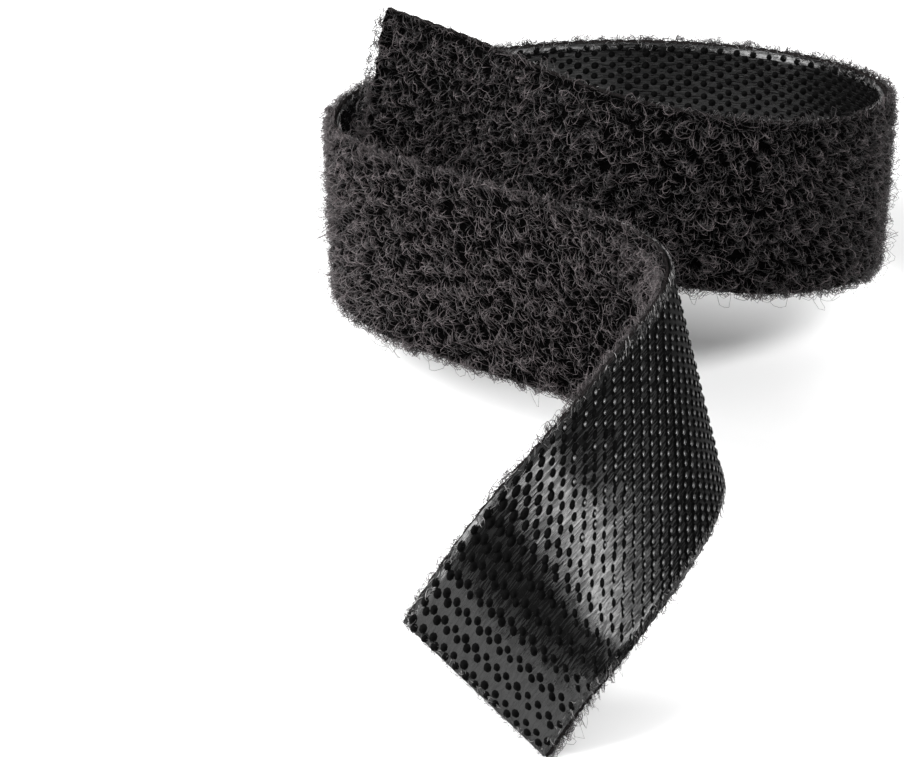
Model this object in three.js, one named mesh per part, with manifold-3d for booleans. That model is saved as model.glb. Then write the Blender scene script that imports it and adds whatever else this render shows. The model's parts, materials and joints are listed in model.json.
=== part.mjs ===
// A cut strip of back-to-back hook and loop tape, lying in a loose coil.
// Millimetres, +Z up. The strip is laid out flat, with u along it, v across it and
// h above the middle of its cloth, and is then bent without stretching: each bend
// turns it about a straight crease that crosses the tape at a slant. The soft pile is
// on the +h side, which is the outside of the coil, and the hooks on the -h side.
import * as THREE from 'three';
import Module from 'manifold-3d';

const wasm = await Module();
wasm.setup();
const { Manifold, Mesh } = wasm;

// Tape section: the cloth that carries everything, the looped pile on one face and
// the moulded hook film on the other, each with a hairline of glue between.
const tape = {
  width: 20,
  clothThick: 0.25,
  pileHeight: 1.6,
  filmThick: 0.2,
  glue: 0.05,
  selvage: 0.3,
};

// Hooks: rows at their real spacing along the tape, with every fourth column drawn.
const hook = {
  rowPitch: 2.05,
  columnPitch: 5.6,
  length: 0.7,
  breadth: 0.5,
  height: 0.45,
  tipShare: 0.6,
  lean: 0.2,
  rooted: 0.12,
  edgeMargin: 1.3,
};

// The bends from the inner cut end to the outer one: length along the tape, turn in
// degrees (positive round the coil) and slant of the crease in degrees.
const bends = {
  leadTip: { length: 20.5, turn: -16, slant: 0 },
  lead: { length: 26.5, turn: 57, slant: 0 },
  frontRight: { length: 19, turn: 53, slant: -10 },
  right: { length: 32.5, turn: 80, slant: -3 },
  back: { length: 44, turn: 73, slant: -5 },
  left: { length: 26, turn: 58, slant: 4 },
  frontLeft: { length: 14.5, turn: 51, slant: -17 },
  front: { length: 22.5, turn: 19, slant: -27 },
  runOut: { length: 17.5, turn: -68, slant: -26 },
  rollOver: { length: 15.5, turn: -67, slant: -33 },
  slope: { length: 17, turn: -23, slant: -46 },
  tailBend: { length: 10.5, turn: -71, slant: -27 },
  tail: { length: 7.5, turn: 5, slant: 0 },
};

// Reach, each way, over which a turn and a slant run into the next.
const ease = { turn: 5, slant: 8 };

// How the back of the coil lies before the strip is stood on its back edge and tail.
const backPose = { bend: 'back', heading: -178.1, climb: -0.9 };

// The strip flexes at three creases, each some way into a bend. The angles are how far it
// closes towards the pile and towards the hooks; the layers stop short to let it close.
const flexes = {
  lead: { bend: 'lead', into: 22.5, toPile: 2, toHooks: 25 },
  peel: { bend: 'frontLeft', into: 7, toPile: 35, toHooks: 2 },
  tail: { bend: 'rollOver', into: 9, toPile: 15, toHooks: 25 },
};
const creaseGap = 0.15;

// Depth to which the coil's back edge and the tail's corner are worn flat on the floor.
const flatCut = 0.5;

// Least gap kept between turns: the inner end is cut shorter where it would come nearer.
const turnClear = 0.45;

// Turn within one hook row, in degrees, from which the tape gets twice the facets.
const tightTurn = 7;

const rad = THREE.MathUtils.DEG2RAD;
const layStep = hook.rowPitch / 4;
const bendOrder = Object.values(bends);
const tapeLength = bendOrder.reduce((sum, bend) => sum + bend.length, 0);
const pileLow = tape.clothThick / 2 + tape.glue;
const pileTop = pileLow + tape.pileHeight;
const filmTop = -tape.clothThick / 2 - tape.glue;
const filmLow = filmTop - tape.filmThick;
const hookTip = filmLow - hook.height;

function bendStart(name) {
  const before = bendOrder.slice(0, bendOrder.indexOf(bends[name]));
  return before.reduce((sum, bend) => sum + bend.length, 0);
}

for (const flex of Object.values(flexes)) {
  flex.at = bendStart(flex.bend) + flex.into;
}

// Amount of a quantity, given for each whole bend, that lies before a place on the tape.
function amountBefore(place, ofBend) {
  let from = 0;
  let sum = 0;
  for (const bend of bendOrder) {
    sum += ofBend(bend) * THREE.MathUtils.clamp((place - from) / bend.length, 0, 1);
    from += bend.length;
  }
  return sum;
}

function turnRate(u) {
  const ofBend = (bend) => bend.turn * rad;
  const reach = ease.turn;
  return (amountBefore(u + reach, ofBend) - amountBefore(u - reach, ofBend)) / (2 * reach);
}

// Sideways run of the crease for each millimetre across the tape.
function creaseRun(u) {
  const runOf = (bend) => Math.tan(bend.slant * rad);
  const first = runOf(bendOrder[0]);
  const last = runOf(bendOrder[bendOrder.length - 1]);
  const sumTo = (place) => amountBefore(place, (bend) => runOf(bend) * bend.length)
    + Math.min(place, 0) * first + Math.max(place - tapeLength, 0) * last;
  const reach = ease.slant;
  return (sumTo(u + reach) - sumTo(u - reach)) / (2 * reach);
}

// The bent centre line, with the tape's own directions at each step.
function layTape() {
  const steps = Math.round(tapeLength / layStep);
  const step = tapeLength / steps;
  const pose = new THREE.Quaternion();
  const place = new THREE.Vector3();
  const crease = new THREE.Vector3();
  const turn = new THREE.Quaternion();
  const path = [];
  for (let i = 0; i <= steps; i += 1) {
    const u = i * step;
    const run = creaseRun(u);
    const slant = Math.atan(run);
    const along = new THREE.Vector3(1, 0, 0).applyQuaternion(pose);
    const across = new THREE.Vector3(0, 1, 0).applyQuaternion(pose);
    path.push({ centre: place.clone(), along, across, run });
    crease.set(Math.sin(slant), Math.cos(slant), 0);
    turn.setFromAxisAngle(crease, turnRate(u) * step * Math.cos(slant));
    pose.multiply(turn);
    place.addScaledVector(new THREE.Vector3(1, 0, 0).applyQuaternion(pose), step);
  }
  return { path, step };
}

const laid = layTape();

// The tape along the crease through a place on its centre line.
function creaseAt(u) {
  const last = laid.path.length - 1;
  const exact = THREE.MathUtils.clamp(u / laid.step, 0, last);
  const i = Math.min(Math.floor(exact), last - 1);
  const share = exact - i;
  const a = laid.path[i];
  const b = laid.path[i + 1];
  const along = a.along.clone().lerp(b.along, share).normalize();
  const across = a.across.clone().lerp(b.across, share);
  across.addScaledVector(along, -across.dot(along)).normalize();
  const run = a.run + (b.run - a.run) * share;
  return {
    centre: a.centre.clone().lerp(b.centre, share),
    along,
    across,
    crease: across.clone().addScaledVector(along, run),
    normal: along.clone().cross(across),
  };
}

function tapePoint(u, v, h) {
  const at = creaseAt(u);
  return at.centre.addScaledVector(at.crease, v).addScaledVector(at.normal, h);
}

function moveTape(matrix) {
  for (const at of laid.path) {
    at.centre.applyMatrix4(matrix);
    at.along.transformDirection(matrix);
    at.across.transformDirection(matrix);
  }
}

function lowestOf(points) {
  return points.reduce((low, point) => (point.z < low.z ? point : low));
}

function edgePoints(from, to, side) {
  const half = side * (tape.width / 2);
  const inner = side * (tape.width / 2 - tape.selvage);
  const points = [];
  const count = Math.ceil((to - from) / layStep);
  for (let i = 0; i <= count; i += 1) {
    const u = from + (to - from) * (i / count);
    points.push(tapePoint(u, half, tape.clothThick / 2));
    points.push(tapePoint(u, half, -tape.clothThick / 2));
    points.push(tapePoint(u, inner, pileTop));
    points.push(tapePoint(u, inner, filmLow));
  }
  return points;
}

// Stand the strip: turn its back to its heading, then tip it about X until the coil's
// bottom edge and the tail's corner are level, and set both a little below the floor.
function standTape() {
  const middle = bendStart(backPose.bend) + bends[backPose.bend].length / 2;
  const at = creaseAt(middle);
  const own = new THREE.Matrix4().makeBasis(at.along, at.across, at.normal).transpose();
  const heading = new THREE.Matrix4().makeRotationZ(backPose.heading * rad);
  const climb = new THREE.Matrix4().makeRotationY(-backPose.climb * rad);
  const upright = new THREE.Matrix4().makeRotationX(Math.PI / 2);
  const pose = heading.multiply(climb).multiply(upright).multiply(own);
  moveTape(pose.multiply(new THREE.Matrix4().makeTranslation(at.centre.clone().negate())));
  for (let i = 0; i < 8; i += 1) {
    const coil = lowestOf(edgePoints(flexes.lead.at, flexes.peel.at, -1));
    const tail = lowestOf(edgePoints(flexes.tail.at, tapeLength, -1));
    const tip = Math.atan2(tail.z - coil.z, coil.y - tail.y);
    moveTape(new THREE.Matrix4().makeRotationX(tip));
  }
  const lowest = lowestOf(edgePoints(0, tapeLength, -1));
  moveTape(new THREE.Matrix4().makeTranslation(0, 0, -lowest.z - flatCut));
}

standTape();

// Least gap between turns: from the pile of one to the hook tips of the one over it.
function turnGap(start) {
  const outer = [];
  const inner = [];
  const half = tape.width / 2 - tape.selvage;
  for (let u = start; u <= tapeLength; u += layStep * 2) {
    for (let share = -1; share <= 1.01; share += 0.2) {
      outer.push({ u, point: tapePoint(u, share * half, pileTop) });
      inner.push({ u, point: tapePoint(u, share * half, hookTip) });
    }
  }
  let least = Infinity;
  for (const a of outer) {
    for (const b of inner) {
      if (Math.abs(a.u - b.u) > tapeLength / 4) {
        least = Math.min(least, a.point.distanceToSquared(b.point));
      }
    }
  }
  return Math.sqrt(least);
}

let leadStart = 0;
while (turnGap(leadStart) < turnClear && leadStart < flexes.lead.at / 2) {
  leadStart += hook.rowPitch / 2;
}

// The spans between the creases, each with how far a layer stops short at its ends.
const spans = [
  { name: 'lead_end', from: leadStart, to: flexes.lead.at, endFlex: flexes.lead },
  { name: 'coil', from: flexes.lead.at, to: flexes.peel.at, startFlex: flexes.lead, endFlex: flexes.peel },
  { name: 'front_run', from: flexes.peel.at, to: flexes.tail.at, startFlex: flexes.peel, endFlex: flexes.tail },
  { name: 'tail', from: flexes.tail.at, to: tapeLength, startFlex: flexes.tail },
];

function setBack(flex, low, high) {
  if (!flex) {
    return 0;
  }
  const pileSide = Math.max(high, 0) * Math.tan((flex.toPile * rad) / 2);
  const hookSide = Math.max(-low, 0) * Math.tan((flex.toHooks * rad) / 2);
  // A slanted crease is further off along the tape, and a bend there has closed part of the gap.
  const square = Math.cos(Math.atan(creaseRun(flex.at)));
  const open = 1 - Math.abs(turnRate(flex.at)) * Math.max(high, -low);
  return (creaseGap + Math.max(pileSide, hookSide)) / (square * open);
}

// Places of a span's facets: whole hook rows, halved where the tape turns tightly.
function stations(from, to) {
  const places = [from];
  const half = hook.rowPitch / 2;
  for (let i = Math.floor(from / half) + 1; i * half < to - 0.2; i += 1) {
    const u = i * half;
    const tight = Math.abs(turnRate(u)) * hook.rowPitch > tightTurn * rad;
    if (u > from + 0.2 && (i % 2 === 0 || tight)) {
      places.push(u);
    }
  }
  places.push(to);
  return places;
}

// A closed body through rings of four corners, each ring as (-v,low) (+v,low) (+v,high) (-v,high).
function ringBody(rings) {
  const corners = rings.flat();
  const faces = [0, 3, 2, 0, 2, 1];
  for (let i = 0; i + 1 < rings.length; i += 1) {
    for (let k = 0; k < 4; k += 1) {
      const a = i * 4 + k;
      const b = i * 4 + ((k + 1) % 4);
      faces.push(a, b, b + 4, a, b + 4, a + 4);
    }
  }
  const end = (rings.length - 1) * 4;
  faces.push(end, end + 1, end + 2, end, end + 2, end + 3);
  return { corners, faces };
}

function toSolid(bodies) {
  const points = [];
  const faces = [];
  for (const body of bodies) {
    const base = points.length / 3;
    body.corners.forEach((corner) => points.push(corner.x, corner.y, corner.z));
    body.faces.forEach((index) => faces.push(base + index));
  }
  return new Manifold(new Mesh({
    numProp: 3,
    vertProperties: new Float32Array(points),
    triVerts: new Uint32Array(faces),
  }));
}

function layer(span, half, low, high) {
  const from = span.from + setBack(span.startFlex, low, high);
  const to = span.to - setBack(span.endFlex, low, high);
  const rings = stations(from, to).map((u) => [
    tapePoint(u, -half, low),
    tapePoint(u, half, low),
    tapePoint(u, half, high),
    tapePoint(u, -half, high),
  ]);
  return toSolid([ringBody(rings)]);
}

// One hook on the middle of its row: a short stem that leans along the tape.
function hookBody(u, v, lean) {
  const at = creaseAt(u);
  const foot = tapePoint(u, v, filmLow + hook.rooted);
  const tip = tapePoint(u, v, hookTip).addScaledVector(at.along, lean);
  const ring = (middle, scale) => [[-1, -1], [1, -1], [1, 1], [-1, 1]].map(([a, b]) => middle.clone()
    .addScaledVector(at.along, (a * hook.length * scale) / 2)
    .addScaledVector(at.across, (b * hook.breadth * scale) / 2));
  return ringBody([ring(tip, hook.tipShare), ring(foot, 1)]);
}

function hooksOf(span) {
  const room = tape.width / 2 - hook.edgeMargin;
  const from = span.from + setBack(span.startFlex, filmLow, filmTop) + hook.length;
  const to = span.to - setBack(span.endFlex, filmLow, filmTop) - hook.length;
  const bodies = [];
  for (let row = 0; (row + 0.5) * hook.rowPitch < to; row += 1) {
    const u = (row + 0.5) * hook.rowPitch;
    const tight = Math.abs(turnRate(u)) * hook.rowPitch > tightTurn * rad;
    const middle = tight ? u + hook.rowPitch / 4 : u;
    const shift = row % 2 === 0 ? hook.columnPitch / 2 : 0;
    const columns = Math.floor((room - shift) / hook.columnPitch);
    for (let column = -columns - (shift > 0 ? 1 : 0); column <= columns; column += 1) {
      const v = column * hook.columnPitch + shift;
      if (middle > from && middle < to) {
        bodies.push(hookBody(middle, v, column % 2 === 0 ? hook.lean : -hook.lean));
      }
    }
  }
  return bodies;
}

function toGeometry(solid) {
  const mesh = solid.getMesh();
  const geometry = new THREE.BufferGeometry();
  geometry.setAttribute('position', new THREE.BufferAttribute(new Float32Array(mesh.vertProperties), 3));
  geometry.setIndex(new THREE.BufferAttribute(new Uint32Array(mesh.triVerts), 1));
  geometry.computeVertexNormals();
  return geometry;
}

const looks = {
  loop_pile: { color: 0x2d2a2a, roughness: 0.96, metalness: 0 },
  ground_cloth: { color: 0x242223, roughness: 0.85, metalness: 0 },
  hook_film: { color: 0x17181a, roughness: 0.34, metalness: 0 },
};

const clothHalf = tape.width / 2;
const faceHalf = tape.width / 2 - tape.selvage;
const pieces = [];
let hookCount = 0;

function addPiece(kind, span, solid) {
  pieces.push({ kind, name: `${kind}_${span.name}`, solid: solid.trimByPlane([0, 0, 1], 0) });
}

for (const span of spans) {
  addPiece('loop_pile', span, layer(span, faceHalf, pileLow, pileTop));
  addPiece('ground_cloth', span, layer(span, clothHalf, -tape.clothThick / 2, tape.clothThick / 2));
  const hooks = hooksOf(span);
  hookCount += hooks.length;
  const film = layer(span, faceHalf, filmLow, filmTop);
  addPiece('hook_film', span, film.add(toSolid(hooks)));
}

// The footprint's middle is the origin.
const footprint = new THREE.Box3();
for (const piece of pieces) {
  const box = piece.solid.boundingBox();
  footprint.expandByPoint(new THREE.Vector3(...box.min));
  footprint.expandByPoint(new THREE.Vector3(...box.max));
}
const middle = footprint.getCenter(new THREE.Vector3()).setZ(0);
moveTape(new THREE.Matrix4().makeTranslation(middle.clone().negate()));

const object = new THREE.Group();
object.name = 'hook_and_loop_tape';
for (const { kind, name, solid } of pieces) {
  const geometry = toGeometry(solid.translate([-middle.x, -middle.y, 0]));
  const mesh = new THREE.Mesh(geometry, new THREE.MeshStandardMaterial(looks[kind]));
  mesh.name = name;
  object.add(mesh);
}

const short = (vector) => vector.toArray().map((value) => Number(value.toFixed(3))).join(', ');
console.log(`tape length ${tapeLength - leadStart} mm, hooks ${hookCount}`);
console.log(`least gap between turns ${turnGap(leadStart).toFixed(2)} mm`);
for (const [name, flex] of Object.entries(flexes)) {
  const at = creaseAt(flex.at);
  console.log(`${name} crease at ${short(at.centre)} along ${short(at.crease.normalize())}`);
}

export default object;
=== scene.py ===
import json
import math
import bpy
import numpy as np
from mathutils import Matrix


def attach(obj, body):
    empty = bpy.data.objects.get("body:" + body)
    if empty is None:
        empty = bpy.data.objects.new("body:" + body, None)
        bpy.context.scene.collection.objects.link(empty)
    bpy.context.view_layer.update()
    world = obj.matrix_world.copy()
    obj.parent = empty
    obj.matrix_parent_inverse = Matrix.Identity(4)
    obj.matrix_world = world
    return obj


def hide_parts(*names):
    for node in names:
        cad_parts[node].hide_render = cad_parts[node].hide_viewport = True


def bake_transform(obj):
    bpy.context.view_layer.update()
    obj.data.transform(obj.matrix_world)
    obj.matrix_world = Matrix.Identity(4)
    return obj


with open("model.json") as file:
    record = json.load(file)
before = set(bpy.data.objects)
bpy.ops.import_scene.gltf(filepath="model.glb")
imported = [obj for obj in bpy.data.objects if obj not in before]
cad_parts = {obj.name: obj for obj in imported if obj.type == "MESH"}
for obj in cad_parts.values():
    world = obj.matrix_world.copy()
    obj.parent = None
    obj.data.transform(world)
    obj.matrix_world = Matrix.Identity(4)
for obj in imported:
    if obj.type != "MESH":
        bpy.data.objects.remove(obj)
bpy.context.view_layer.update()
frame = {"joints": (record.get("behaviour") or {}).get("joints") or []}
mm = 0.001
print("frame loaded")

# the tape is modelled flat, x along it, y across it and z up through its layers, all from
# the middle of the ground cloth, and is bent onto the coil afterwards
tape = {
    "width": 20.0,          # mm, as are all sizes in this script
    "faceHalf": 9.7,        # half width of the pile and of the hook film
    "clothThick": 0.25,
    "pileLow": 0.175,
    "filmTop": -0.175,
    "filmLow": -0.375,
    "step": 0.5125,         # spacing of the bent centre line
    "easeTurn": 5.0,        # reach over which a turn runs into the next
    "easeSlant": 8.0,
    "bends": [              # length, turn and slant of the crease in degrees
        (20.5, -16.0, 0.0),     # inner end, curling away from the coil
        (26.5, 57.0, 0.0),
        (19.0, 53.0, -10.0),    # front right
        (32.5, 80.0, -3.0),     # right
        (44.0, 73.0, -5.0),     # back
        (26.0, 58.0, 4.0),      # left
        (14.5, 51.0, -17.0),    # front left
        (22.5, 19.0, -27.0),    # front
        (17.5, -68.0, -26.0),   # leaving the coil
        (15.5, -67.0, -33.0),   # rolling over
        (17.0, -23.0, -46.0),   # coming down
        (10.5, -71.0, -27.0),
        (7.5, 5.0, 0.0),        # tail
    ],
    "creases": {"lead_end_flex": 43.0, "run_peel": 175.5, "tail_flex": 232.0},
}
tapeLength = sum(bend[0] for bend in tape["bends"])

# each layer is made in four stretches, so that none crosses more than one crease
zones = [
    {"name": "lead", "span": (0.0, 56.0), "node": "lead_end",
     "bodies": ("coil", "lead_end"), "joint": "lead_end_flex"},
    {"name": "coil", "span": (56.0, 163.0), "node": "coil",
     "bodies": ("coil",), "joint": None},
    {"name": "run", "span": (163.0, 219.0), "node": "front_run",
     "bodies": ("coil", "front_run"), "joint": "run_peel"},
    {"name": "tail", "span": (219.0, tapeLength), "node": "tail",
     "bodies": ("front_run", "tail"), "joint": "tail_flex"},
]
flexReach = 7.0             # each way from a crease
floorGap = 0.01             # the lowest any piece comes to the floor
near = 0.01                 # points this close count as the same


def amountBefore(places, amounts):
    lengths = np.array([bend[0] for bend in tape["bends"]])
    starts = np.cumsum(lengths) - lengths
    shares = np.clip((np.asarray(places, float)[:, None] - starts) / lengths, 0, 1)
    return shares @ amounts


def layTape():
    steps = round(tapeLength / tape["step"])
    step = tapeLength / steps
    places = np.arange(steps + 1) * step
    lengths, turns, slants = np.array(tape["bends"]).T
    turns, runs = np.radians(turns), np.tan(np.radians(slants))
    reach = tape["easeTurn"]
    rate = (amountBefore(places + reach, turns) - amountBefore(places - reach, turns)) / (2 * reach)

    def runBefore(where):
        past = np.minimum(where, 0) * runs[0] + np.maximum(where - tapeLength, 0) * runs[-1]
        return amountBefore(where, runs * lengths) + past

    reach = tape["easeSlant"]
    run = (runBefore(places + reach) - runBefore(places - reach)) / (2 * reach)
    pose, spot = Matrix.Identity(3), np.zeros(3)
    centre, along, across = [], [], []
    for i in range(steps + 1):
        centre.append(spot)
        along.append(np.array(pose.col[0]))
        across.append(np.array(pose.col[1]))
        slant = math.atan(run[i])
        crease = (math.sin(slant), math.cos(slant), 0)
        pose = pose @ Matrix.Rotation(rate[i] * step * math.cos(slant), 3, crease)
        spot = spot + np.array(pose.col[0]) * step
    return {"places": places, "run": run, "centre": np.array(centre),
            "along": np.array(along), "across": np.array(across)}


laid = layTape()


def along(rows, places):
    return np.stack([np.interp(places, laid["places"], laid[rows][:, k]) for k in range(3)], axis=-1)


# what a table of places and values gives at other places
def atPlaces(table, places):
    return np.interp(places, *np.array(table).T)


# the three creases of the laid tape go onto the frame's three joints
def setOnFrame():
    names = list(tape["creases"])
    joints = {joint["name"]: np.array(joint["pos_m"]) / mm for joint in frame["joints"]}
    own = along("centre", np.array([tape["creases"][name] for name in names]))
    there = np.array([joints[name] for name in names])

    def axes(points):
        x = points[1] - points[0]
        x = x / np.linalg.norm(x)
        z = np.cross(x, points[2] - points[0])
        z = z / np.linalg.norm(z)
        return np.stack([x, np.cross(z, x), z], axis=1)

    turn = axes(there) @ axes(own).T
    laid["centre"] = (laid["centre"] - own.mean(axis=0)) @ turn.T + there.mean(axis=0)
    laid["along"] = laid["along"] @ turn.T
    laid["across"] = laid["across"] @ turn.T


setOnFrame()
print("tape laid,", tapeLength, "mm")


# flat points, in mm, to their places on the bent tape, in metres
def onTape(flat):
    flat = np.asarray(flat, float)
    place = np.clip(flat[:, 0], 0, tapeLength)
    ahead = along("along", place)
    ahead /= np.linalg.norm(ahead, axis=1, keepdims=True)
    side = along("across", place)
    side -= (side * ahead).sum(axis=1, keepdims=True) * ahead
    side /= np.linalg.norm(side, axis=1, keepdims=True)
    up = np.cross(ahead, side)
    run = np.interp(place, laid["places"], laid["run"])
    forward = run * flat[:, 1] + flat[:, 0] - place
    spot = along("centre", place) + forward[:, None] * ahead + flat[:, 1:2] * side + flat[:, 2:3] * up
    return spot * mm


def deselect():
    bpy.ops.object.select_all(action="DESELECT")


# bends a flat piece, keeping its flat places as its UV map
def bendPiece(piece):
    mesh = piece.data
    flat = flatPoints(piece)
    corners = np.empty(len(mesh.loops), int)
    mesh.loops.foreach_get("vertex_index", corners)
    uvMap = mesh.uv_layers[0] if mesh.uv_layers else mesh.uv_layers.new(name="tapeUv")
    uv = np.stack([flat[:, 0] / tapeLength, flat[:, 1] / tape["width"] + 0.5], axis=1)[corners]
    uvMap.data.foreach_set("uv", uv.ravel())
    bent = onTape(flat)
    bent[:, 2] = np.maximum(bent[:, 2], floorGap * mm)     # pressed flat where it stands on the floor
    mesh.vertices.foreach_set("co", bent.ravel())
    mesh.update()


# a piece turns with its zone's body when the zone holds no crease; otherwise its place is only baked into its points
def carry(piece, zone):
    if zone["joint"] is None:
        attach(piece, zone["bodies"][0])
        return
    place = tape["creases"][zone["joint"]]
    joint = next(joint for joint in frame["joints"] if joint["name"] == zone["joint"])
    axis = np.array(joint["axis"]) / np.linalg.norm(joint["axis"])
    middle = onTape([[place, 0, 0]])[0]
    ahead = along("along", np.array([place]))[0]
    ahead = ahead - (ahead @ axis) * axis
    ahead = ahead / np.linalg.norm(ahead) * flexReach * mm
    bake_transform(piece)


def flatStrip(name, zone, half, low, high, alongStep, acrossCount):
    start, end = zone["span"]
    deselect()
    alongCount = round((end - start) / alongStep)
    bpy.ops.mesh.primitive_grid_add(x_subdivisions=alongCount, y_subdivisions=acrossCount, size=1)
    piece = bpy.context.object
    piece.name = name
    bpy.ops.object.mode_set(mode="EDIT")
    bpy.ops.mesh.select_all(action="SELECT")
    bpy.ops.transform.resize(value=((end - start) * mm, 2 * half * mm, 1))
    bpy.ops.transform.translate(value=((start + end) / 2 * mm, 0, low * mm))
    bpy.ops.mesh.extrude_region_move(TRANSFORM_OT_translate={"value": (0, 0, (high - low) * mm)})
    bpy.ops.mesh.select_all(action="SELECT")
    bpy.ops.mesh.normals_make_consistent(inside=False)
    bpy.ops.object.mode_set(mode="OBJECT")
    # sharp ends, so that one stretch runs into the next without a line
    places = flatPoints(piece)[:, 0]
    ends = np.empty(len(piece.data.edges) * 2, int)
    piece.data.edges.foreach_get("vertices", ends)
    ends = places[ends.reshape(-1, 2)]
    sharp = (np.abs(ends - start) < near).all(axis=1) | (np.abs(ends - end) < near).all(axis=1)
    piece.data.attributes.new("sharp_edge", "BOOLEAN", "EDGE").data.foreach_set("value", sharp)
    return piece


def flatPoints(piece):
    points = np.empty(len(piece.data.vertices) * 3)
    piece.data.vertices.foreach_get("co", points)
    return points.reshape(-1, 3) / mm


def setFlatPoints(piece, points):
    piece.data.vertices.foreach_set("co", (points * mm).ravel())
    piece.data.update()


def finishPiece(piece, zone, material, node=None):
    piece.data.materials.clear()
    piece.data.materials.append(material)
    for polygon in piece.data.polygons:
        polygon.use_smooth = True
    bendPiece(piece)
    carry(piece, zone)
    if node:
        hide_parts(node)


# a rough field over the tape, from 0 in the pile's pits to 1 on its tufts
tufts = {"waves": 60, "shortest": 0.9, "longest": 2.8, "gain": 2.2, "seed": 11}


def waveField(places, across, settings):
    rng = np.random.default_rng(settings["seed"])
    total = np.zeros(np.shape(places))
    for _ in range(settings["waves"]):
        wave = 2 * math.pi / rng.uniform(settings["shortest"], settings["longest"])
        heading, phase = rng.uniform(0, 2 * math.pi, 2)
        total += np.cos(wave * (places * math.cos(heading) + across * math.sin(heading)) + phase)
    return total / math.sqrt(settings["waves"])


def tuftField(places, across):
    return 1 / (1 + np.exp(-tufts["gain"] * waveField(places, across, tufts)))


def newMaterial(name):
    material = bpy.data.materials.new(name)
    material.use_nodes = True
    nodes = material.node_tree.nodes
    return material, nodes, material.node_tree.links, nodes["Principled BSDF"]


# flat places of the tape in mm, stretched by scale
def tapeCoordinates(nodes, links, scale):
    source = nodes.new("ShaderNodeTexCoord")
    mapping = nodes.new("ShaderNodeMapping")
    mapping.inputs["Scale"].default_value = (tapeLength * scale[0], tape["width"] * scale[1], 1)
    links.new(source.outputs["UV"], mapping.inputs["Vector"])
    return mapping.outputs["Vector"]


def ramp(nodes, links, value, stops):
    node = nodes.new("ShaderNodeValToRGB")
    while len(node.color_ramp.elements) < len(stops):
        node.color_ramp.elements.new(0.5)
    for element, (position, colour) in zip(node.color_ramp.elements, stops):
        element.position = position
        element.color = (*colour, 1)
    links.new(value, node.inputs["Fac"])
    return node.outputs["Color"]


def grey(value):
    return (value, value, value)


def noise(nodes, links, vector, scale, detail=2.0, roughness=0.5):
    node = nodes.new("ShaderNodeTexNoise")
    node.inputs["Scale"].default_value = scale
    node.inputs["Detail"].default_value = detail
    node.inputs["Roughness"].default_value = roughness
    links.new(vector, node.inputs["Vector"])
    return node.outputs["Fac"]


def bump(nodes, links, height, distance, shader):
    node = nodes.new("ShaderNodeBump")
    node.inputs["Distance"].default_value = distance * mm
    links.new(height, node.inputs["Height"])
    links.new(node.outputs["Normal"], shader.inputs["Normal"])


def setFinish(shader, looks):
    shader.inputs["Roughness"].default_value = looks["roughness"]
    shader.inputs["Specular IOR Level"].default_value = looks["gloss"]


# a matt cloth with a noise laid over the flat tape
def clothMaterial(name, looks):
    material, nodes, links, shader = newMaterial(name)
    grain = noise(nodes, links, tapeCoordinates(nodes, links, looks["stretch"]), *looks["grain"])
    links.new(ramp(nodes, links, grain, looks["colours"]), shader.inputs["Base Color"])
    setFinish(shader, looks)
    bump(nodes, links, grain, looks["bump"], shader)
    return material


# from dark to pale as the fibreShade attribute says; in the pile and the fringe that is painted shade, dark at the
# root and paler at the crown
def fibreMaterial(name, looks):
    material, nodes, links, shader = newMaterial(name)
    shade = nodes.new("ShaderNodeAttribute")
    shade.attribute_name = "fibreShade"
    colours = [(0.0, looks["dark"]), (1.0, looks["pale"])]
    links.new(ramp(nodes, links, shade.outputs["Fac"], colours), shader.inputs["Base Color"])
    setFinish(shader, looks)
    return material


def maths(nodes, links, operation, *values):
    node = nodes.new("ShaderNodeMath")
    node.operation = operation
    for socket, value in zip(node.inputs, values):
        if isinstance(value, float):
            socket.default_value = value
        else:
            links.new(value, socket)
    return node.outputs["Value"]


mottleScale = 1500.0        # to a metre, on plain moulded plastic


def plasticMaterial(name, looks):
    material, nodes, links, shader = newMaterial(name)
    shape = nodes.new("ShaderNodeTexCoord")
    mottle = noise(nodes, links, shape.outputs["Object"], mottleScale)
    colours = [(0.3, grey(looks["dark"])), (0.7, grey(looks["pale"]))]
    links.new(ramp(nodes, links, mottle, colours), shader.inputs["Base Color"])
    setFinish(shader, looks)
    return material


groundCloth = {
    "alongStep": 0.4, "acrossCount": 4, "scallop": 0.07, "scallopPitch": 1.6,
    "looks": {"stretch": (2.2, 1.6), "grain": (1.6, 3.0), "bump": 0.15, "roughness": 0.9, "gloss": 0.05,
              "colours": [(0.3, (0.003, 0.0027, 0.0027)), (0.7, (0.013, 0.011, 0.011))]},
}


def makeGroundCloth():
    material = clothMaterial("groundCloth", groundCloth["looks"])
    half, thick = tape["width"] / 2, tape["clothThick"]
    for zone in zones:
        piece = flatStrip(f"groundCloth_{zone['name']}", zone, half, -thick / 2, thick / 2,
                          groundCloth["alongStep"], groundCloth["acrossCount"])
        points = flatPoints(piece)
        edge = np.abs(points[:, 1]) > half - near
        wave = np.sin(2 * math.pi * points[:, 0] / groundCloth["scallopPitch"])
        points[edge, 1] += np.sign(points[edge, 1]) * groundCloth["scallop"] * (wave[edge] - 1)
        setFlatPoints(piece, points)
        finishPiece(piece, zone, material, f"ground_cloth_{zone['node']}")
    print("ground cloth made")


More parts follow.
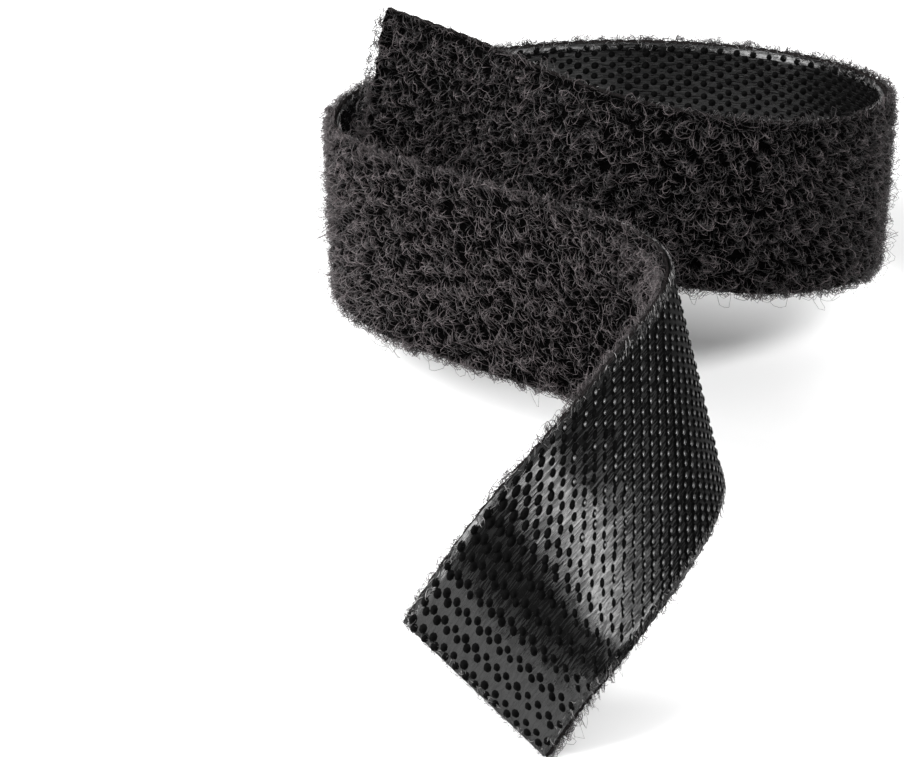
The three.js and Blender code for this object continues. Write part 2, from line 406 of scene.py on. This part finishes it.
hookFilm = {
    "alongStep": 0.5, "acrossCount": 16,
    "streaks": (0.5, 4.6), "streakNoise": (1.0, 3.0, 0.6),      # drawn along the tape
    "colours": [(0.3, grey(0.0012)), (0.75, grey(0.005))],
    "roughness": [(0.42, grey(0.36)), (0.6, grey(0.06))],
    "gloss": 0.44,
    "waves": (0.4, 0.9), "waveNoise": (1.0, 1.0), "waveHeight": 2.6, "depth": 0.034,
    # on the tail the film is shaded as if twisted a little, so that its highlight runs nearer to square across:
    # places where the twist starts and ends, its reach along the tape and how much it tilts
    "twistSpan": (242.0, 268.0), "twistReach": (-9.0, 9.0), "twist": 0.03,
    # places between which it is dull, on the roll
    "dull": (190.0, 236.0),
    "dullLooks": {"dark": 0.003, "pale": 0.008, "roughness": 0.6, "gloss": 0.05},
}


def hookFilmMaterial(name, twisted):
    material, nodes, links, shader = newMaterial(name)
    streaks = noise(nodes, links, tapeCoordinates(nodes, links, hookFilm["streaks"]), *hookFilm["streakNoise"])
    links.new(ramp(nodes, links, streaks, hookFilm["colours"]), shader.inputs["Base Color"])
    links.new(ramp(nodes, links, streaks, hookFilm["roughness"]), shader.inputs["Roughness"])
    shader.inputs["Specular IOR Level"].default_value = hookFilm["gloss"]
    # the film lies in shallow waves under the drawn streaks
    waves = noise(nodes, links, tapeCoordinates(nodes, links, hookFilm["waves"]), *hookFilm["waveNoise"])
    relief = maths(nodes, links, "MULTIPLY_ADD", waves, hookFilm["waveHeight"], streaks)
    if twisted:
        flat = nodes.new("ShaderNodeSeparateXYZ")
        links.new(tapeCoordinates(nodes, links, (1, 1)), flat.inputs["Vector"])
        reach = nodes.new("ShaderNodeMapRange")
        reach.interpolation_type = "SMOOTHSTEP"
        limits = hookFilm["twistSpan"] + hookFilm["twistReach"]
        for socket, value in zip(("From Min", "From Max", "To Min", "To Max"), limits):
            reach.inputs[socket].default_value = value
        links.new(flat.outputs["X"], reach.inputs["Value"])
        across = maths(nodes, links, "SUBTRACT", flat.outputs["Y"], tape["width"] / 2)
        twist = maths(nodes, links, "MULTIPLY", reach.outputs["Result"], across)
        relief = maths(nodes, links, "MULTIPLY_ADD", twist, hookFilm["twist"] / hookFilm["depth"], relief)
    bump(nodes, links, relief, hookFilm["depth"], shader)
    return material


def makeHookFilm():
    material, tailMaterial = hookFilmMaterial("hookFilm", False), hookFilmMaterial("hookFilmTail", True)
    dullMaterial = plasticMaterial("hookFilmDull", hookFilm["dullLooks"])
    for zone in zones:
        piece = flatStrip(f"hookFilm_{zone['name']}", zone, tape["faceHalf"], tape["filmLow"], tape["filmTop"],
                          hookFilm["alongStep"], hookFilm["acrossCount"])
        places = flatPoints(piece)[:, 0]
        middle = np.array([places[list(polygon.vertices)].mean() for polygon in piece.data.polygons])
        low, high = hookFilm["dull"]
        ownMaterial = tailMaterial if zone["name"] == "tail" else material
        finishPiece(piece, zone, ownMaterial, f"hook_film_{zone['node']}")
        piece.data.materials.append(dullMaterial)
        piece.data.polygons.foreach_set("material_index", ((middle > low) & (middle < high)).astype(int))
    print("hook film made")


hooks = {
    "acrossPitch": 1.4, "edgeMargin": 0.55, "endMargin": 0.5, "jitter": 0.05, "seed": 5,
    # place on the tape and pitch of the rows there: they close up over the roll and open on the tail
    "rowPitch": [(0.0, 2.05), (225.0, 2.05), (236.0, 1.7), (252.0, 1.75), (258.0, 1.9), (266.0, 2.3)],
    # place on the tape and how far back the second row of a cell lies, as a share of the pitch
    "pairing": [(250.0, 0.5), (262.0, 0.29)],
    # place on the tape and share of heads there that are dull and, in the feet's colour, painted darker as shade; only
    # those on the roll shine
    "dull": [(196.0, 1.0), (214.0, 0.0), (246.0, 0.0), (256.0, 1.0)],
    # place on the tape, and size and height of the hooks there: they lie low where the tape rolls over
    "size": [(200.0, 1.2), (212.0, 0.95), (226.0, 0.95), (236.0, 1.2), (247.0, 1.0), (257.0, 1.0), (263.0, 1.22)],
    "height": [(200.0, 1.0), (212.0, 0.6), (229.0, 0.6), (238.0, 1.0)],
    "spread": (0.88, 1.1),      # of their sizes
    "foot": 0.37, "stretch": 1.05, "sides": 8,
    "sunk": 0.008,              # into the film
    # each ring: drop, lean along the tape and size against the one before
    "rings": [(0.06, 0.0, 0.66), (0.2, 0.03, 0.8), (0.06, 0.02, 0.52)],
    "slope": 0.42,              # of the head, down towards the outer end
    "matteRings": 2,            # the foot and the stem are dull and painted near black, painted shade of the pit round each hook; the head over them shines
    "settleSteps": 40, "settleShare": 0.6,      # for finding the places of rows that run square across
    "footShadedLooks": {"dark": 0.0004, "pale": 0.002, "roughness": 0.75, "gloss": 0.03},
    "headLooks": {"dark": 0.004, "pale": 0.012, "roughness": 0.3, "gloss": 0.95},
}


# one hook hanging from the film, a stem with a rounded head that leans along the tape
def modelHook():
    deselect()
    bpy.ops.mesh.primitive_circle_add(vertices=hooks["sides"], radius=hooks["foot"] * mm, fill_type="NOTHING")
    piece = bpy.context.object
    bpy.ops.object.mode_set(mode="EDIT")
    bpy.ops.mesh.select_all(action="SELECT")
    bpy.ops.transform.resize(value=(hooks["stretch"], 1, 1))
    for down, lean, size in hooks["rings"]:
        bpy.ops.mesh.extrude_region_move(TRANSFORM_OT_translate={"value": (lean * mm, 0, -down * mm)})
        bpy.ops.transform.resize(value=(size, size, 1))
    bpy.ops.mesh.edge_face_add()
    bpy.ops.mesh.select_all(action="SELECT")
    bpy.ops.mesh.normals_make_consistent(inside=False)
    bpy.ops.object.mode_set(mode="OBJECT")
    return piece


# places of rows that run square across the tape, turned into places along its creases
def creasePlaces(square, across):
    places = np.clip(square, 0, tapeLength)
    for _ in range(hooks["settleSteps"]):
        run = np.interp(places, laid["places"], laid["run"])
        places = places + hooks["settleShare"] * (np.clip(square - run * across, 0, tapeLength) - places)
    return places


# two hooks to each cell of the lattice, the second half a pitch across from the first
def hookSpots():
    room = tape["faceHalf"] - hooks["edgeMargin"]
    columns = math.floor(room / hooks["acrossPitch"])
    spots, place = [], tapeLength - hooks["endMargin"]
    while place > hooks["endMargin"]:
        cell = atPlaces(hooks["rowPitch"], place)
        for row in range(2):
            back = row * cell * atPlaces(hooks["pairing"], place)
            for column in range(-columns - row, columns + 1):
                spots.append((max(place - back, hooks["endMargin"]), (column + row / 2) * hooks["acrossPitch"]))
        place -= cell
    return np.array(spots)


def makeHooks():
    footMaterial = plasticMaterial("hookFeet", hooks["footShadedLooks"])
    headMaterial = plasticMaterial("hookHeads", hooks["headLooks"])
    rng = np.random.default_rng(hooks["seed"])
    model = modelHook()
    shape = flatPoints(model)
    faces = [tuple(polygon.vertices) for polygon in model.data.polygons]
    bottom = -sum(ring[0] for ring in hooks["rings"][:hooks["matteRings"]])
    head = np.array([shape[list(face), 2].mean() < bottom for face in faces], int)
    top = shape[:, 2] < bottom - near
    shape[top, 2] += hooks["slope"] * (shape[top, 0] - shape[top, 0].mean())
    bpy.data.objects.remove(model)
    spots = hookSpots()
    spots += rng.normal(0, hooks["jitter"], spots.shape)
    spots[:, 0] = creasePlaces(spots[:, 0], spots[:, 1])
    for zone in zones:
        start, end = zone["span"]
        own = spots[(spots[:, 0] > start) & (spots[:, 0] <= end)]
        copies = np.repeat(shape[None], len(own), axis=0)
        size = rng.uniform(*hooks["spread"], len(own)) * atPlaces(hooks["size"], own[:, 0])
        copies *= size[:, None, None]
        copies[:, :, 2] *= atPlaces(hooks["height"], own[:, 0])[:, None]
        copies[:, :, :2] += own[:, None, :2]
        copies[:, :, 2] += tape["filmLow"] + hooks["sunk"]
        allFaces = [tuple(i + k * len(shape) for i in face) for k in range(len(own)) for face in faces]
        mesh = bpy.data.meshes.new(f"hooks_{zone['name']}")
        mesh.from_pydata((copies.reshape(-1, 3) * mm).tolist(), [], allFaces)
        piece = bpy.data.objects.new(mesh.name, mesh)
        bpy.context.collection.objects.link(piece)
        finishPiece(piece, zone, footMaterial)
        mesh.materials.append(headMaterial)
        shiny = rng.random(len(own)) > atPlaces(hooks["dull"], own[:, 0])
        mesh.polygons.foreach_set("material_index", (shiny[:, None] * head).ravel())
    print("hooks made,", len(spots))


# the mat's colours are nearly black, darker than the fibres' nylon: the tape's black base with painted shade of the
# pile's pits
pileMat = {
    "alongStep": 0.7, "acrossCount": 30, "pit": 0.3, "tuft": 0.85,
    "round": 0.6, "roundPower": 14,     # how far it falls at the edges and how late
    "looks": {"stretch": (1, 1), "grain": (3.2, 5.0, 0.65), "bump": 0.5, "roughness": 0.95, "gloss": 0.02,
              "colours": [(0.35, (0.0003, 0.0003, 0.0003)), (0.7, (0.0016, 0.0014, 0.0014))]},
}


def makePileMat():
    material = clothMaterial("pileMat", pileMat["looks"])
    for zone in zones:
        piece = flatStrip(f"pileMat_{zone['name']}", zone, tape["faceHalf"], tape["pileLow"], tape["pileLow"] + 1,
                          pileMat["alongStep"], pileMat["acrossCount"])
        points = flatPoints(piece)
        top = points[:, 2] > tape["pileLow"] + 0.5
        field = tuftField(points[:, 0], points[:, 1])
        height = pileMat["pit"] + (pileMat["tuft"] - pileMat["pit"]) * field
        fall = (np.abs(points[:, 1]) / tape["faceHalf"]) ** pileMat["roundPower"]
        points[top, 2] = (tape["pileLow"] + height * (1 - pileMat["round"] * fall))[top]
        setFlatPoints(piece, points)
        finishPiece(piece, zone, material, f"loop_pile_{zone['node']}")
    print("pile mat made")


pileFibres = {
    "seed": 3, "pit": 0.4, "tuft": 1.18, "lowest": 0.04,
    # the pile turns down round the tape's edge: how far in it starts, how low its middle lies, mm to a radian
    "turnIn": 0.3, "edgeLow": 0.15, "edgeRound": 0.8, "edgeTurn": 1.8,
    # place on the tape and share of the curls at its upper edge, and how wide that edge is
    "bare": [(0.0, 0.3), (60.0, 0.35), (80.0, 1.0), (206.0, 1.0), (214.0, 0.3), (236.0, 0.3), (248.0, 1.0)],
    "bareWidth": 0.5,
    # how far curls hang past the two cut ends, at the lower and the upper edge
    "hang": {"inner": (2.6, 0.7), "outer": (0.4, 0.4)},
    "hangShare": 0.6,           # of that, how far out curls still start
    # place on the tape and power of painted shade there: a higher power leaves only the palest curls pale, so the tape
    # is darker towards the inner end and paler on the outer turn
    "paintedShadePower": [(0.0, 1.8), (50.0, 1.8), (80.0, 1.6), (130.0, 1.0), (152.0, 0.8), (172.0, 0.9), (184.0, 1.0)],
    "palePower": 1.8,           # most curls are darker than the palest
    "shadeFrom": 0.25, "shadeLeast": 0.02,      # painted shade: height from which a curl gets paler, and the least it has below
    "comb": {"waves": 24, "shortest": 2.5, "longest": 7.0, "seed": 29},
    "combTurn": 2.2, "scatter": 1.6, "sway": 0.7,       # radians
    "tries": 4, "tuftShare": 0.8,                       # places drawn for one curl, and share kept on a tuft
    "root": 0.35, "skew": (0.6, 1.6),                   # height of the ends against the middle, place of the top
    # count to a square mm, steps, thickness, length, turn in radians, lift over the tufts, shade at the crown
    "under": {"density": 2.0, "steps": 4, "thick": 0.075, "length": (1.0, 2.3), "turn": (0.5, 3.5),
              "lift": (-0.3, 0.1), "shade": (0.2, 0.9), "keep": 0.25},
    "curl": {"density": 5.2, "steps": 5, "thick": 0.053, "length": (0.9, 2.4), "turn": (0.1, 2.6),
             "lift": (0.0, 0.45), "shade": (0.15, 1.0), "keep": 0.05},
    "stray": {"density": 0.55, "steps": 7, "thick": 0.042, "length": (1.6, 4.4), "turn": (1.0, 5.0),
              "lift": (0.4, 1.7), "shade": (0.3, 1.0), "keep": 0.2},
    # the under fibres are the curls' nylon painted darker: painted shade deep in the pile
    "underShadedLooks": {"dark": (0.0006, 0.0005, 0.0005), "pale": (0.016, 0.0132, 0.0136), "roughness": 0.6, "gloss": 0.15},
    "curlLooks": {"dark": (0.0015, 0.0012, 0.0012), "pale": (0.142, 0.118, 0.122), "roughness": 0.4, "gloss": 0.5},
}


# shades between two limits, most of them near the darker
def drawShades(limits, count, rng):
    low, high = limits
    return low + (high - low) * rng.random((count, 1)) ** pileFibres["palePower"]


# a bundle of curls: each winds over the tufts and dips back into the pile at both ends
def curlPaths(kind, zone, rng):
    start, end = zone["span"]
    corner = tape["faceHalf"] - pileFibres["turnIn"]
    half = corner + pileFibres["edgeRound"] * pileFibres["edgeTurn"]
    wanted = int(kind["density"] * (end - start) * 2 * half)
    first = start - (pileFibres["hangShare"] * max(pileFibres["hang"]["inner"]) if start == 0 else 0)
    tries = wanted * pileFibres["tries"]
    places = rng.uniform(first, end, tries)
    across = rng.uniform(-half, half, tries)
    chance = kind["keep"] + (1 - kind["keep"]) * tuftField(places, across)
    chance *= np.where(across > corner - pileFibres["bareWidth"], atPlaces(pileFibres["bare"], places), 1)
    kept = np.flatnonzero(rng.random(tries) < chance * pileFibres["tuftShare"])[:wanted]
    places, across = places[kept], across[kept]
    count, steps = len(kept), kind["steps"]
    length = rng.uniform(*kind["length"], count)
    turn = rng.uniform(*kind["turn"], count) * rng.choice([-1, 1], count)
    heading = pileFibres["combTurn"] * waveField(places, across, pileFibres["comb"])
    heading = heading + rng.normal(0, pileFibres["scatter"], count)
    share = np.linspace(0, 1, steps + 1)
    sway = rng.uniform(-pileFibres["sway"], pileFibres["sway"], count)[:, None]
    sway = sway * np.sin(2 * math.pi * (share + rng.random((count, 1))))
    angle = heading[:, None] + turn[:, None] * (share - 0.5) + sway
    step = (length / steps)[:, None]
    x = np.cumsum(np.cos(angle) * step, axis=1)
    y = np.cumsum(np.sin(angle) * step, axis=1)
    x += (places - x.mean(axis=1))[:, None]
    y += (across - y.mean(axis=1))[:, None]
    relief = pileFibres["pit"] + (pileFibres["tuft"] - pileFibres["pit"]) * tuftField(x, y)
    arch = np.sin(math.pi * share ** rng.uniform(*pileFibres["skew"], count)[:, None])
    root = pileFibres["root"]
    z = relief * (root + (1 - root) * arch ** 0.5) + rng.uniform(*kind["lift"], count)[:, None] * arch
    z = np.maximum(z, pileFibres["lowest"])
    # painted shade: the lower a curl's point lies in the pile, the darker it is
    shade = drawShades(kind["shade"], count, rng) * np.clip(z - pileFibres["shadeFrom"], pileFibres["shadeLeast"], 1)
    # painted shade along the tape
    shade = shade ** atPlaces(pileFibres["paintedShadePower"], x)
    # what lies past the corner goes down round the edge
    past = np.maximum(np.abs(y) - corner, 0)
    turned = np.minimum(past / pileFibres["edgeRound"], pileFibres["edgeTurn"])
    rise = z - pileFibres["edgeLow"]
    y = np.sign(y) * (np.minimum(np.abs(y), corner) + rise * np.sin(turned))
    z = np.where(past > 0, pileFibres["edgeLow"] + rise * np.cos(turned), z)
    cutEnds = ((0, -1, pileFibres["hang"]["inner"]), (tapeLength, 1, pileFibres["hang"]["outer"]))
    for limit, side, hangs in cutEnds:
        hang = np.interp(y, (-corner, corner), hangs)
        over = np.maximum(side * (x - limit), 0)
        x = np.where(over > 0, limit + side * hang * np.tanh(over / hang), x)
    return np.stack([x, y, z + tape["pileLow"]], axis=-1), shade


tubes = {
    "tip": 0.4,                     # thickness of the ends against the rest
    "upright": (0.13, 0.07, 1.0),   # no fibre runs quite along this
    "tiny": 1e-9,
    "most": 190000,                 # triangles to a piece
}


def unitRows(rows):
    return rows / (np.linalg.norm(rows, axis=2, keepdims=True) + tubes["tiny"])


# tubes with three sides along rows of points, closed at both ends
def tubeMesh(name, paths, thick, shade):
    count, rows = paths.shape[:2]
    ahead = unitRows(np.gradient(paths, axis=1))
    side = unitRows(np.cross(ahead, np.array(tubes["upright"])))
    up = np.cross(side, ahead)
    taper = np.full(rows, thick / 2)
    taper[[0, -1]] *= tubes["tip"]
    angles = np.arange(3) * 2 * math.pi / 3
    ring = np.cos(angles)[:, None] * side[:, :, None, :] + np.sin(angles)[:, None] * up[:, :, None, :]
    ring = ring * taper[:, None, None]
    points = (paths[:, :, None, :] + ring).reshape(-1, 3)
    row = np.arange(rows - 1)[:, None] * 3
    corner = np.arange(3)[None]
    after = (corner + 1) % 3
    walls = np.stack([row + corner, row + 3 + corner, row + 3 + after, row + after], axis=-1).reshape(-1, 4)
    ends = np.array([[0, 1, 2], [rows * 3 - 1, rows * 3 - 2, rows * 3 - 3]])
    first = np.arange(count)[:, None, None] * rows * 3
    walls, ends = (first + walls).reshape(-1, 4), (first + ends).reshape(-1, 3)
    mesh = bpy.data.meshes.new(name)
    mesh.vertices.add(len(points))
    mesh.vertices.foreach_set("co", (points * mm).ravel())
    mesh.loops.add(walls.size + ends.size)
    mesh.loops.foreach_set("vertex_index", np.concatenate([walls.ravel(), ends.ravel()]))
    mesh.polygons.add(len(walls) + len(ends))
    wallStarts, endStarts = np.arange(len(walls)) * 4, walls.size + np.arange(len(ends)) * 3
    mesh.polygons.foreach_set("loop_start", np.concatenate([wallStarts, endStarts]))
    mesh.update(calc_edges=True)
    attribute = mesh.attributes.new("fibreShade", "FLOAT", "POINT")
    attribute.data.foreach_set("value", np.repeat(shade.ravel(), 3))
    piece = bpy.data.objects.new(name, mesh)
    bpy.context.collection.objects.link(piece)
    return piece


def makeFibres(name, zone, paths, thick, shade, material):
    share = tubes["most"] // (paths.shape[1] * 6)
    for part, first in enumerate(range(0, len(paths), share)):
        own = slice(first, first + share)
        piece = tubeMesh(f"{name}_{zone['name']}_{part}", paths[own], thick, shade[own])
        finishPiece(piece, zone, material)


def makePileFibres():
    underMaterial = fibreMaterial("underFibre", pileFibres["underShadedLooks"])
    curlMaterial = fibreMaterial("curlFibre", pileFibres["curlLooks"])
    rng = np.random.default_rng(pileFibres["seed"])
    for zone in zones:
        for name, material in (("under", underMaterial), ("curl", curlMaterial), ("stray", curlMaterial)):
            kind = pileFibres[name]
            paths, shade = curlPaths(kind, zone, rng)
            makeFibres(f"pile_{name}", zone, paths, kind["thick"], shade, material)
    print("pile fibres made")


# short curls that hang over the tape's edges and cut ends
fringe = {
    "density": 4.0, "endShare": 1.5,        # to a mm, and times as many at the cut ends
    "steps": 5, "thick": 0.05, "seed": 17,
    "rollFrom": (60, 130), "rollBy": (110, 210),        # degrees round the edge
    "inset": 0.35, "reach": 0.8, "reachPower": 2.2,     # from inside the edge to past it
    "edgeGap": 0.15, "endGap": 0.1,
    "middle": 0.5, "rise": (0.3, 0.95), "drift": 0.7, "wobble": 0.45,
    "pastEnd": 0.3, "pastEdge": 0.2,                    # the furthest they drift
    # the fringe is the curls' nylon painted darker, and paler higher up: painted shade round the tape's edges
    "shade": (0.1, 1.0), "shadeFrom": -0.3, "shadeOver": 1.2, "shadeLeast": 0.1,
    "looks": {"dark": (0.002, 0.0016, 0.0017), "pale": (0.1, 0.083, 0.086), "roughness": 0.45, "gloss": 0.35},
}


def fringePaths(count, rng):
    share = np.linspace(0, 1, fringe["steps"] + 1)
    rollFrom, rollBy = rng.uniform(*fringe["rollFrom"], count), rng.uniform(*fringe["rollBy"], count)
    roll = np.radians(rollFrom[:, None] - share * rollBy[:, None])
    reach = fringe["reach"] * rng.random((count, 1)) ** fringe["reachPower"]
    out = -fringe["inset"] + (fringe["inset"] + reach) * np.cos(roll)
    up = fringe["middle"] + rng.uniform(*fringe["rise"], count)[:, None] * np.sin(roll)
    drift = rng.normal(0, fringe["drift"], count)[:, None] * (share - 0.5)
    wobble = rng.normal(0, fringe["wobble"], (count, 1))
    drift = drift + wobble * np.sin(2 * math.pi * (share + rng.random((count, 1))))
    # painted shade: lower on the edge is darker
    paler = np.clip((up - fringe["shadeFrom"]) / fringe["shadeOver"], fringe["shadeLeast"], 1)
    return drift, out, up, drawShades(fringe["shade"], count, rng) * paler


def makeFringe():
    material = fibreMaterial("fringeFibre", fringe["looks"])
    rng = np.random.default_rng(fringe["seed"])
    half, pastEnd = tape["faceHalf"], fringe["pastEnd"]
    widest = tape["width"] / 2 + fringe["pastEdge"]
    for zone in zones:
        start, end = zone["span"]
        paths, shades = [], []
        for side in (-1, 1):
            places = rng.uniform(start, end, int(fringe["density"] * (end - start)))
            if side == 1:
                places = places[rng.random(len(places)) < atPlaces(pileFibres["bare"], places)]
            drift, out, up, shade = fringePaths(len(places), rng)
            x = np.clip(places[:, None] + drift, -pastEnd, tapeLength + pastEnd)
            paths.append(np.stack([x, side * (half + fringe["edgeGap"] + out), up], axis=-1))
            shades.append(shade)
        for limit, side in ((0, -1), (tapeLength, 1)):
            if limit in (start, end):
                count = int(fringe["endShare"] * fringe["density"] * tape["width"])
                drift, out, up, shade = fringePaths(count, rng)
                y = np.clip(rng.uniform(-half, half, count)[:, None] + drift, -widest, widest)
                paths.append(np.stack([limit + side * (out + fringe["endGap"]), y, up], axis=-1))
                shades.append(shade)
        makeFibres("fringe", zone, np.concatenate(paths), fringe["thick"], np.concatenate(shades), material)
    print("fringe made")


# cut threads that glint along the hook film's edges and its two cut ends, most of them on the roll
edgeThreads = {
    "density": [(196.0, 8.0), (206.0, 24.0), (240.0, 24.0), (250.0, 8.0)],      # place on the tape and count to a mm
    "endDensity": 8.0, "points": 4, "thick": 0.05, "seed": 23,
    "length": (0.25, 0.9), "inset": (-0.2, 0.75), "endGap": 0.2,
    "scatter": 0.9, "curl": 0.8,            # radians
    "under": 0.02, "rise": 0.25, "riseShare": 0.3,
    "glintPower": 4,                        # few threads are pale: painted glints
    "looks": {"dark": (0.002, 0.002, 0.002), "pale": (0.4, 0.39, 0.39), "roughness": 0.4, "gloss": 0.4},
}


def threadPaths(count, rng):
    share = np.linspace(-0.5, 0.5, edgeThreads["points"])
    length = rng.uniform(*edgeThreads["length"], count)[:, None]
    angle = rng.normal(0, edgeThreads["scatter"], count)[:, None]
    angle = angle + rng.normal(0, edgeThreads["curl"], count)[:, None] * share
    inset = rng.uniform(*edgeThreads["inset"], count)[:, None]
    rise = rng.uniform(0, edgeThreads["rise"], (count, 2))
    z = tape["filmLow"] - edgeThreads["under"] - rise[:, :1] * (0.5 + share) - edgeThreads["riseShare"] * rise[:, 1:]
    shade = np.repeat(rng.random(count)[:, None] ** edgeThreads["glintPower"], len(share), axis=1)
    return length * share * np.cos(angle), length * share * np.sin(angle), inset, z, shade


def makeEdgeThreads():
    material = fibreMaterial("edgeThread", edgeThreads["looks"])
    rng = np.random.default_rng(edgeThreads["seed"])
    half, gap = tape["faceHalf"], edgeThreads["endGap"]
    most = max(density for place, density in edgeThreads["density"])
    for zone in zones:
        start, end = zone["span"]
        paths, shades = [], []
        for side in (-1, 1):
            places = rng.uniform(start + gap, end - gap, int(most * (end - start)))
            places = places[rng.random(len(places)) * most < atPlaces(edgeThreads["density"], places)]
            ahead, aside, inset, z, shade = threadPaths(len(places), rng)
            x = places[:, None] + ahead
            paths.append(np.stack([x, side * (half - inset) + aside, z], axis=-1))
            shades.append(shade)
        for limit, side in ((0, -1), (tapeLength, 1)):
            if limit in (start, end):
                count = int(edgeThreads["endDensity"] * tape["width"])
                ahead, aside, inset, z, shade = threadPaths(count, rng)
                y = rng.uniform(-half, half, count)[:, None] + ahead
                paths.append(np.stack([limit - side * inset + aside, y, z], axis=-1))
                shades.append(shade)
        makeFibres("edgeThreads", zone, np.concatenate(paths), edgeThreads["thick"], np.concatenate(shades), material)
    print("edge threads made")


studio = {
    "floorSize": 4000.0, "world": 0.05,
    "floorColour": (0.93, 0.93, 0.93, 1), "floorLooks": {"roughness": 0.8, "gloss": 0.1},
    # azimuth from +Y towards +X, tilt of the long side, width and height, brightness
    "lights": [
        {"name": "key", "azimuth": 128.0, "elevation": 50.0, "tilt": -23.0,
         "distance": 800.0, "size": (800.0, 180.0), "radiance": 15.0},
        {"name": "left", "azimuth": -98.0, "elevation": 37.0, "tilt": 0.0,
         "distance": 800.0, "size": (560.0, 560.0), "radiance": 15.5},
        {"name": "frontLeft", "azimuth": -122.0, "elevation": 7.0, "tilt": 0.0,
         "distance": 700.0, "size": (460.0, 60.0), "radiance": 15.0},
        {"name": "overhead", "azimuth": 0.0, "elevation": 85.0, "tilt": 0.0,
         "distance": 900.0, "size": (1100.0, 1100.0), "radiance": 0.8},
    ],
}


def floorMaterial():
    material, nodes, links, shader = newMaterial("paleFloor")
    shader.inputs["Base Color"].default_value = studio["floorColour"]
    setFinish(shader, studio["floorLooks"])
    return material


def aimFrom(azimuth, elevation, roll=0.0):
    turn = Matrix.Rotation(-math.radians(azimuth), 4, "Z") @ Matrix.Rotation(math.radians(90 - elevation), 4, "X")
    return turn @ Matrix.Rotation(math.radians(roll), 4, "Z")


def makeStudio():
    deselect()
    bpy.ops.mesh.primitive_plane_add(size=studio["floorSize"] * mm)
    floor = bpy.context.object
    floor.name = "floor"
    floor.data.materials.append(floorMaterial())
    world = bpy.data.worlds.new("studio")
    world.use_nodes = True
    background = world.node_tree.nodes["Background"]
    background.inputs["Color"].default_value = (1, 1, 1, 1)
    background.inputs["Strength"].default_value = studio["world"]
    bpy.context.scene.world = world
    for light in studio["lights"]:
        data = bpy.data.lights.new(light["name"], "AREA")
        data.shape = "RECTANGLE"
        data.size, data.size_y = (size * mm for size in light["size"])
        data.energy = math.pi * data.size * data.size_y * light["radiance"]
        lamp = bpy.data.objects.new(light["name"], data)
        bpy.context.collection.objects.link(lamp)
        # a lamp shines along its own -Z, so it looks back at the object from its place
        turn = aimFrom(light["azimuth"] + 180, light["elevation"], light["tilt"])
        lamp.matrix_world = turn @ Matrix.Translation((0, 0, light["distance"] * mm))
    bpy.context.scene.view_settings.view_transform = "Standard"
    print("studio made")


viewCamera = {"place": (-9.56, -303.52, 211.09), "azimuth": -1.44, "elevation": 33.98, "roll": -0.34,
              "lens": 134.41, "sensor": 36.0, "nearest": 10.0}


def makeCamera():
    data = bpy.data.cameras.new("view")
    data.sensor_width = viewCamera["sensor"]
    data.lens = viewCamera["lens"]
    data.clip_start = viewCamera["nearest"] * mm
    camera = bpy.data.objects.new("view", data)
    bpy.context.collection.objects.link(camera)
    turn = aimFrom(viewCamera["azimuth"], viewCamera["elevation"], viewCamera["roll"])
    camera.matrix_world = Matrix.Translation([x * mm for x in viewCamera["place"]]) @ turn
    bpy.context.scene.camera = camera


makeCamera()
makeStudio()
makeGroundCloth()
makeHookFilm()
makeHooks()
makePileMat()
makePileFibres()
makeFringe()
makeEdgeThreads()
